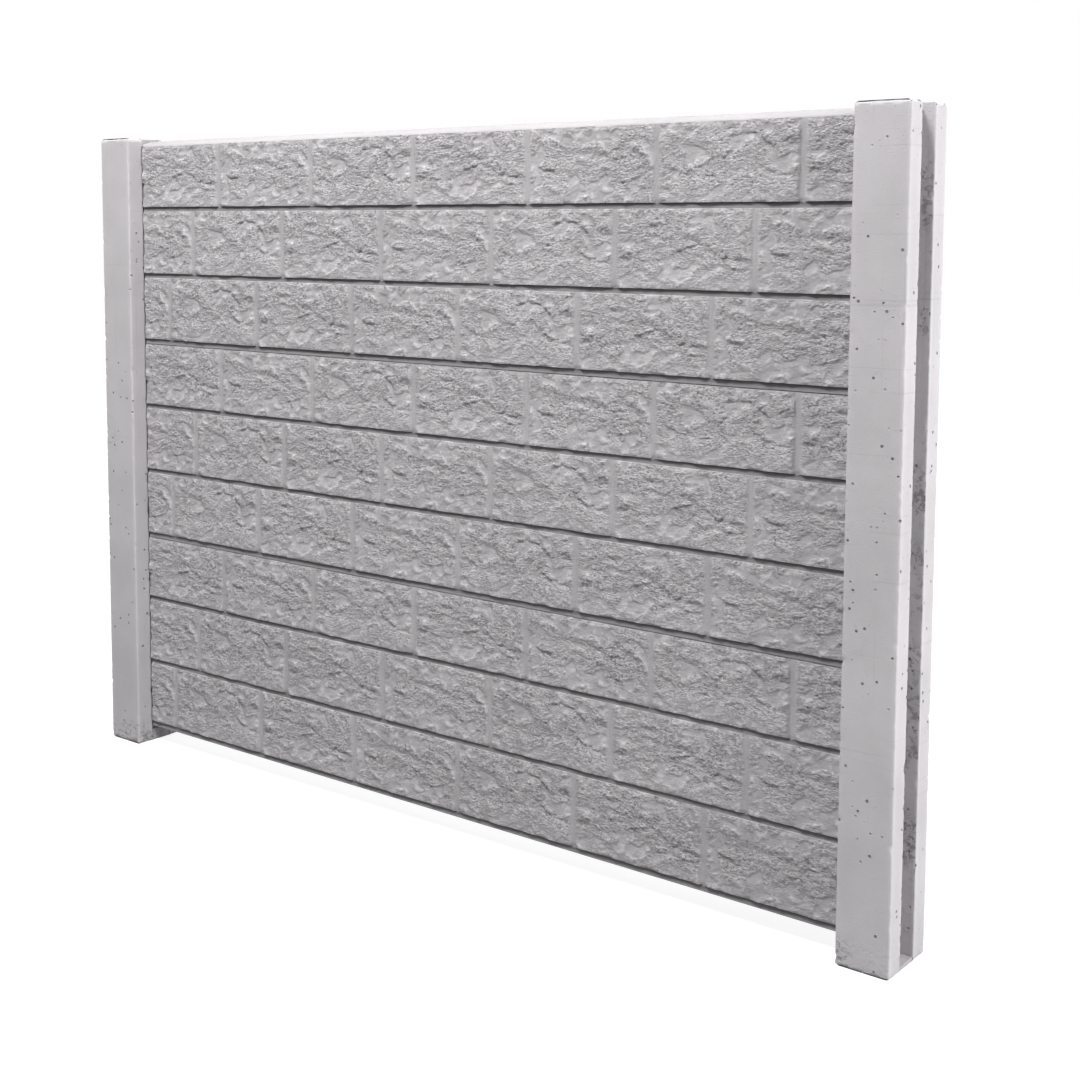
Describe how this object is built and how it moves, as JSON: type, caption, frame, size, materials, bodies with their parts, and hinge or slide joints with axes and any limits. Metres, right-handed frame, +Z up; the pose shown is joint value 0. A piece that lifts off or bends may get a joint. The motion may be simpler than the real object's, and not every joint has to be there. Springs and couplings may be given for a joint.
{
  "type": "concrete fence panel",
  "caption": "Bay of a precast concrete fence: rock-faced panels stacked between grooved posts, which take the next bays in their outer grooves.",
  "frame": {"origin": "on the ground, at the centre of the left post's foot", "axes": "+Z up, +X along the fence from the left post to the right post, -Y towards the side that the rock face looks at"},
  "size_m": [2.216, 0.146, 1.56],
  "materials": {
    "post_concrete": "smooth cast concrete with air pits and chipped edges",
    "panel_concrete": "cast concrete with a split-rock face"
  },
  "bodies": {
    "root": {"left_post": "post_concrete", "right_post": "post_concrete", "bottom_panel": "panel_concrete", "middle_panel": "panel_concrete", "top_panel": "panel_concrete"}
  },
  "joints": []
}
